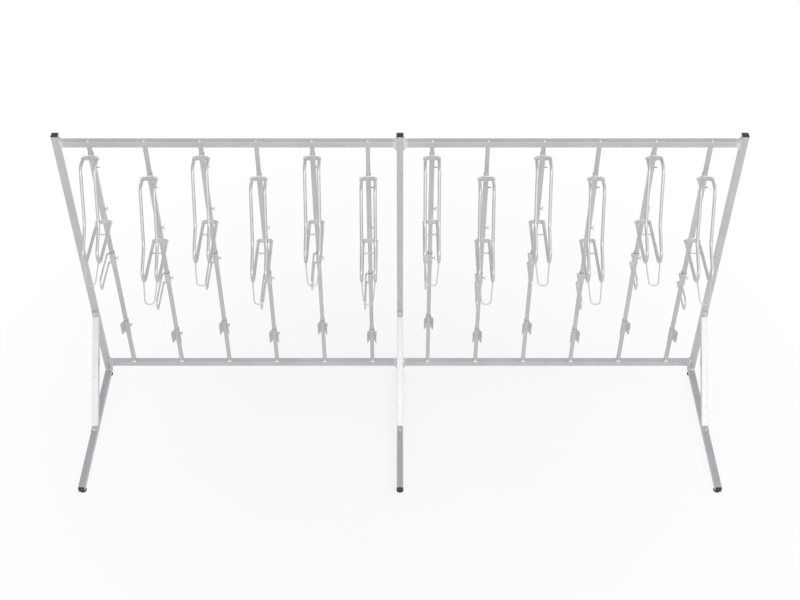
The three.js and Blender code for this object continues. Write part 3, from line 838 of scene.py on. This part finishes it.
# For each kind of sliding piece: its node, mesh, finish and slot, and the mesh, name, finish, height and
# slot of what is fitted to it.
sliders = {
    "holder": (
        "wheel_holder", holder_mesh(), painted_sheen_zinc("galvanised_holder", -130, -75, 0.0, ("Y", -36)),
        "bright_tube",
        ((slanting_screw, "wing_screw_upper", screw_zinc_painted_shade, UPPER_SCREW, "bright_tube"),
         (tall_screw, "wing_screw_lower", screw_zinc, LOWER_SCREW, "bright_tube"),
         (holder_weld_mesh(), "holder_welds", weld_painted_highlight, 0, "bright_tube"))),
    "lock": (
        "lock_loop", lock_mesh(), painted_sheen_zinc("galvanised_lock", -120, -40, 0.3, ("X", -16.5)),
        "bright_tube",
        ((tall_screw, "wing_screw_lock", screw_zinc, LOCK_SCREW, "bright_tube"),
         (glide_and_shade_band_mesh("lock_glide"), "lock_glide", grey_plastic, COLLAR, "black_plastic"))),
    "guide": (
        "wheel_guide", guide_mesh(), sheet_zinc_painted_light(), "galvanised_steel",
        ((tall_screw, "wing_screw_guide", screw_zinc, GUIDE_SCREW, "bright_tube"),
         # Painted shade: on a guide the ring is a grey band for the shade in the collar's top gap.
         (glide_and_shade_band_mesh("guide_glide"), "guide_glide", painted_shade_plastic, COLLAR, "black_plastic"))),
}

for column in range(COLUMNS):
    label = f"{column + 1:02d}"
    for kind, (prefix, mesh, finish, slot, fittings) in sliders.items():
        node, body = f"{prefix}_{label}", f"{kind}_{label}"
        low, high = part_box(node)
        height = high.z / MM - HOLDER_TOP if kind == "holder" else low.z / MM
        where = Vector((column_x(column), UPRIGHT_AXIS, height))
        place(mesh, f"{node}_dressed", body, finish, where, (node,))
        for fitting, name, fitting_finish, rise, fitting_slot in fittings:
            place(fitting, f"{name}_{label}", body, fitting_finish, where + UP * rise)


# Pieces of the frame.

# Flanks of the cap from its skirt to its crown: side, radius of the corners, and height.
CAP_LEVELS = ((42.2, 4, 0), (42.6, 4, 0.6), (42.4, 4, 1.4), (40.6, 4, 3.0), (39.4, 4, 4.3),
              (37.6, 4, 5.2), (35, 4, 5.75), (30, 4, CAP_HEIGHT))

# Profiles of a levelling pad and of a domed screw head: radius and height.
PAD_PROFILE = ((21.5, 0), (22.5, 1), (22.5, 6), (21.6, 7.2), (14, 8.6), (9, 9.6), (8.4, 11), (7.5, 11.6))
DOME_PROFILE = ((7.6, -0.2), (7.6, 0.8), (6.9, 2.2), (5.6, 3.8), (4.0, 5.2), (2.0, 6.0), (0.5, 6.2))

# A small gusset under a rail's end: out from the end plate, and up.
GUSSET = ((-5.8, 0.5), (14, 0.5), (13.6, -0.6), (8.4, -4), (4.4, -9.4), (1.6, -16), (0.2, -22),
          (-5.8, -22.6))
GUSSET_THICKNESS = 6

# Widths across the flats of a head, its height and the radius of its washer.
STRUT_BOLT = (13, 5.3, 8.5)
PLATE_BOLT = (10, 3.4, 6.5)

STRUT_BOLT_HEIGHT = 610
STRUT_BOLT_REACH = 562
STRUT_TAB = 6.3

# Bolts of an end plate: height above the middle of the rail, and depth behind the post's front.
PLATE_BOLTS = ((-30, 31.5), (27.5, 8.5))


def bolt(shell, where, axis, across, height, washer):
    """A hexagon head on its washer, facing along an axis."""
    matrix = Matrix.Translation(where) @ facing(axis)
    shell.slab(circle(washer, 28), -0.3, 1.5, 0.3, matrix)
    shell.slab(hexagon(across), 1.2, 1.5 + height, 0.7, matrix)


def cap_mesh():
    shell = Shell()
    shell.skin([at_height(rounded_square(side, corner, 5), z) for side, corner, z in CAP_LEVELS])
    shell.slab(rounded_square(32.5, 2, 5), -18, 0.6, 0.8)
    return shell.mesh("post_cap")


def pad_mesh():
    shell = Shell()
    shell.turned(PAD_PROFILE, (0, 0, 0), "Z", 40)
    return shell.mesh("levelling_pad")


def stud_mesh():
    """The threaded stud of a levelling foot, with the nut at its base."""
    shell = Shell()
    shell.turned(thread(4.4, 4.95, 10, 0.8, 41), (0, 0, 0), "Z", 18)
    shell.slab(hexagon(13), 11.2, 14.4, 0.4)
    return shell.mesh("levelling_stud")


def rail_ends(index):
    """The rails that end at a post: for each, the way it goes, the far face of its end plate, and the
    height of its middle."""
    for way in (-1, 1):
        if 0 <= index + way < len(SIDES):
            face = (index - 1) * POST_PITCH + way * (FRAME_TUBE / 2 + CLEARANCE + END_PLATE)
            for rail in (LOWER_RAIL, UPPER_RAIL):
                yield way, face, rail


def rail_screw_mesh():
    """The domed screws that hold the uprights, in the top of the upper rails."""
    shell = Shell()
    for column in range(COLUMNS):
        where = (column_x(column), POST_FRONT + 9.5, UPPER_RAIL + FRAME_TUBE / 2)
        shell.turned(DOME_PROFILE, where, "Z", 24)
    return shell.mesh("rail_bolts")


def frame_bolt_mesh():
    """The bolts of the struts and of the rails' end plates."""
    shell = Shell()
    for index in range(len(SIDES)):
        x = (index - 1) * POST_PITCH
        bolt(shell, (x, POST_FRONT - STRUT_TAB, STRUT_BOLT_HEIGHT), "-Y", *STRUT_BOLT)
        bolt(shell, (x, POST_FRONT - STRUT_BOLT_REACH, FOOT_TOP + STRUT_TAB), "Z", *STRUT_BOLT)
        for way, face, rail in rail_ends(index):
            axis = "X" if way > 0 else "-X"
            for rise, depth in PLATE_BOLTS:
                bolt(shell, (face, POST_FRONT + depth, rail + rise), axis, *PLATE_BOLT)
    return shell.mesh("frame_bolts")


def gusset_mesh():
    """The gussets in front, under the ends of the rails."""
    shell = Shell()
    for index in range(len(SIDES)):
        for way, face, rail in rail_ends(index):
            outline = [Vector((way * out, up)) for out, up in GUSSET]
            where = Matrix.Translation((face, POST_FRONT + 0.4, rail - FRAME_TUBE / 2))
            if way > 0:
                outline.reverse()
            shell.slab(outline, -GUSSET_THICKNESS, 0, 0.4, where @ facing("-Y"))
    return shell.mesh("end_gussets")


def upright_welds(shell, x):
    """The weld around the foot of an upright, which is thickest in front."""
    half, middle = UPRIGHT_TUBE / 2, Vector((x, UPRIGHT_AXIS, LOWER_RAIL + FRAME_TUBE / 2))
    for out, along, reach, leg in ((-BACK, RIGHT, half + 1, 7.3), (BACK, RIGHT, half - 1, 5),
                                   (-RIGHT, BACK, half - 1, 2.5), (RIGHT, BACK, half - 1, 2.5)):
        root = middle + out * half
        shell.fillet(root - along * reach, root + along * reach, out, UP, leg)


def post_welds(shell, x):
    """The welds between a post and its foot: a bead at both sides and a fillet in front."""
    for way in (-1, 1):
        edge = x + way * (FRAME_TUBE / 2 - 0.4)
        ends = [Vector((edge, POST_FRONT + depth, FOOT_TOP)) for depth in (3, FRAME_TUBE - 3)]
        shell.bead(ends, 2.2)
    front, reach = Vector((x, POST_FRONT, FOOT_TOP)), RIGHT * (FRAME_TUBE / 2 - 2)
    shell.fillet(front - reach, front + reach, -BACK, UP, 3)


def frame_weld_mesh():
    shell = Shell()
    for column in range(COLUMNS):
        upright_welds(shell, column_x(column))
    for index in range(len(SIDES)):
        post_welds(shell, (index - 1) * POST_PITCH)
        for way, face, rail in rail_ends(index):
            front = Vector((face, POST_FRONT + 2, rail + FRAME_TUBE / 2))
            shell.fillet(front, front + BACK * (FRAME_TUBE - 4), RIGHT * way, UP, 6)
    return shell.mesh("frame_welds")


cap = cap_mesh()
pad = pad_mesh()
stud = stud_mesh()
for side in SIDES:
    low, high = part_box(f"post_cap_{side}")
    middle = (low + high) / 2 / MM
    place(cap, f"post_cap_{side}_dressed", "frame", plastic,
          (middle.x, middle.y, high.z / MM - CAP_HEIGHT), (f"post_cap_{side}",))
    for end in ("front", "rear"):
        node, body = f"levelling_foot_{side}_{end}", f"pad_{side}_{end}"
        low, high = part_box(node)
        middle = (low + high) / 2 / MM
        foot = (middle.x, middle.y, 0)
        place(pad, f"{node}_pad", body, rubber, foot, (node,))
        place(stud, f"{node}_stud", body, screw_zinc, foot)

place(frame_bolt_mesh(), "frame_bolts", "frame", bolt_zinc_painted_light)
place(rail_screw_mesh(), "rail_bolts", "frame", bolt_zinc_painted_light)
place(gusset_mesh(), "end_gussets", "frame", weld)
place(frame_weld_mesh(), "frame_welds", "frame", weld)


# Studio, in metres.

CAMERA_PLACE = (0, -5.5325, 6.4806)
CAMERA_PITCH = 43.6
CAMERA_LENS = 56.25
FLOOR_CORNERS = ((-14, -12, 0), (14, -12, 0), (14, 16, 0), (-14, 16, 0))

# Place, aim, size, power and colour of the lamps.
LAMPS = {
    "key": ((9.5, -2.5, 9.0), (0, 0.2, 0.6), (16.0, 11.0), 420, (1.0, 0.99, 0.97)),
    "front": ((0, -8.4, 6.6), (0, 0.2, 0.9), (13.0, 4.5), 235, (1.0, 1.0, 1.0)),
}


def photo_camera():
    scene = bpy.context.scene
    camera = bpy.data.objects.new("camera", bpy.data.cameras.new("camera"))
    camera.data.sensor_width = 36
    camera.data.lens = CAMERA_LENS
    camera.location = CAMERA_PLACE
    camera.rotation_euler = (math.radians(90 - CAMERA_PITCH), 0, 0)
    scene.collection.objects.link(camera)
    scene.camera = camera


def white_floor():
    """A pale floor that takes the rack's shadow. The eye sees it whiter, and quite white far away."""
    f = Finish("floor")
    tone = f.ranged(f.noise(3, 3), 0.93, 0.96)
    grey = f.node("ShaderNodeCombineColor")
    for socket in grey.inputs[:3]:
        f.link(tone, socket)
    f.link(grey.outputs[0], f.shader.inputs["Base Color"])
    f.shader.inputs["Roughness"].default_value = 0.9
    f.shader.inputs["Specular IOR Level"].default_value = 0.1
    f.link(f.bump(f.noise(700, 2), 0.05, 0.1 * MM), f.shader.inputs["Normal"])
    paper = f.node("ShaderNodeEmission", Color=(1, 1, 1, 1), Strength=1.0)
    coordinates = f.node("ShaderNodeTexCoord")
    distance = f.node("ShaderNodeVectorMath", operation="LENGTH")
    f.link(coordinates.outputs["Object"], distance.inputs[0])
    share = f.product(f.sharp_rays(), f.ranged(distance.outputs["Value"], 0.75, 1.0, 1.0, 3.2))
    mix = f.node("ShaderNodeMixShader")
    for index, value in enumerate((share, f.shader.outputs[0], paper.outputs[0])):
        f.link(value, mix.inputs[index])
    f.link(mix.outputs[0], f.output.inputs["Surface"])
    data = bpy.data.meshes.new("floor")
    data.from_pydata(FLOOR_CORNERS, [], [(0, 1, 2, 3)])
    data.materials.append(f.material)
    plane = bpy.data.objects.new("floor", data)
    bpy.context.scene.collection.objects.link(plane)


def studio_air():
    """Even light from all around, and for the eye and for reflections a backdrop that is white behind
    the camera and pale grey elsewhere."""
    world = bpy.data.worlds.new("studio")
    bpy.context.scene.world = world
    world.use_nodes = True
    air = Nodes(world.node_tree)
    direction = air.node("ShaderNodeTexCoord")
    split = air.node("ShaderNodeSeparateXYZ")
    air.link(direction.outputs["Generated"], split.inputs[0])
    shades = air.node("ShaderNodeValToRGB")
    air.link(air.ranged(split.outputs["Y"], 0.0, 1.0, -1.0, 1.0), shades.inputs[0])
    ramp = shades.color_ramp.elements
    ramp[0].position = 0.2
    ramp[0].color = (1.0, 1.0, 1.0, 1)
    ramp[1].position = 0.9
    ramp[1].color = (0.80, 0.82, 0.86, 1)
    ramp.new(0.42).color = (0.81, 0.825, 0.85, 1)
    backdrop = air.node("ShaderNodeBackground")
    air.link(shades.outputs[0], backdrop.inputs["Color"])
    fill = air.node("ShaderNodeBackground", Color=(0.95, 0.97, 1.0, 1), Strength=0.68)
    mix = air.node("ShaderNodeMixShader")
    for index, value in enumerate((air.sharp_rays(), fill.outputs[0], backdrop.outputs[0])):
        air.link(value, mix.inputs[index])
    output = air.node("ShaderNodeOutputWorld")
    air.link(mix.outputs[0], output.inputs["Surface"])


def studio_lamps():
    for name, (where, aim, size, power, colour) in LAMPS.items():
        light = bpy.data.lights.new(name, "AREA")
        light.shape = "RECTANGLE"
        light.size, light.size_y = size
        light.energy = power
        light.color = colour
        lamp = bpy.data.objects.new(name, light)
        lamp.location = where
        lamp.rotation_euler = (Vector(aim) - Vector(where)).to_track_quat("-Z", "Y").to_euler()
        bpy.context.scene.collection.objects.link(lamp)


bpy.context.scene.view_settings.view_transform = "Standard"
photo_camera()
white_floor()
studio_air()
studio_lamps()
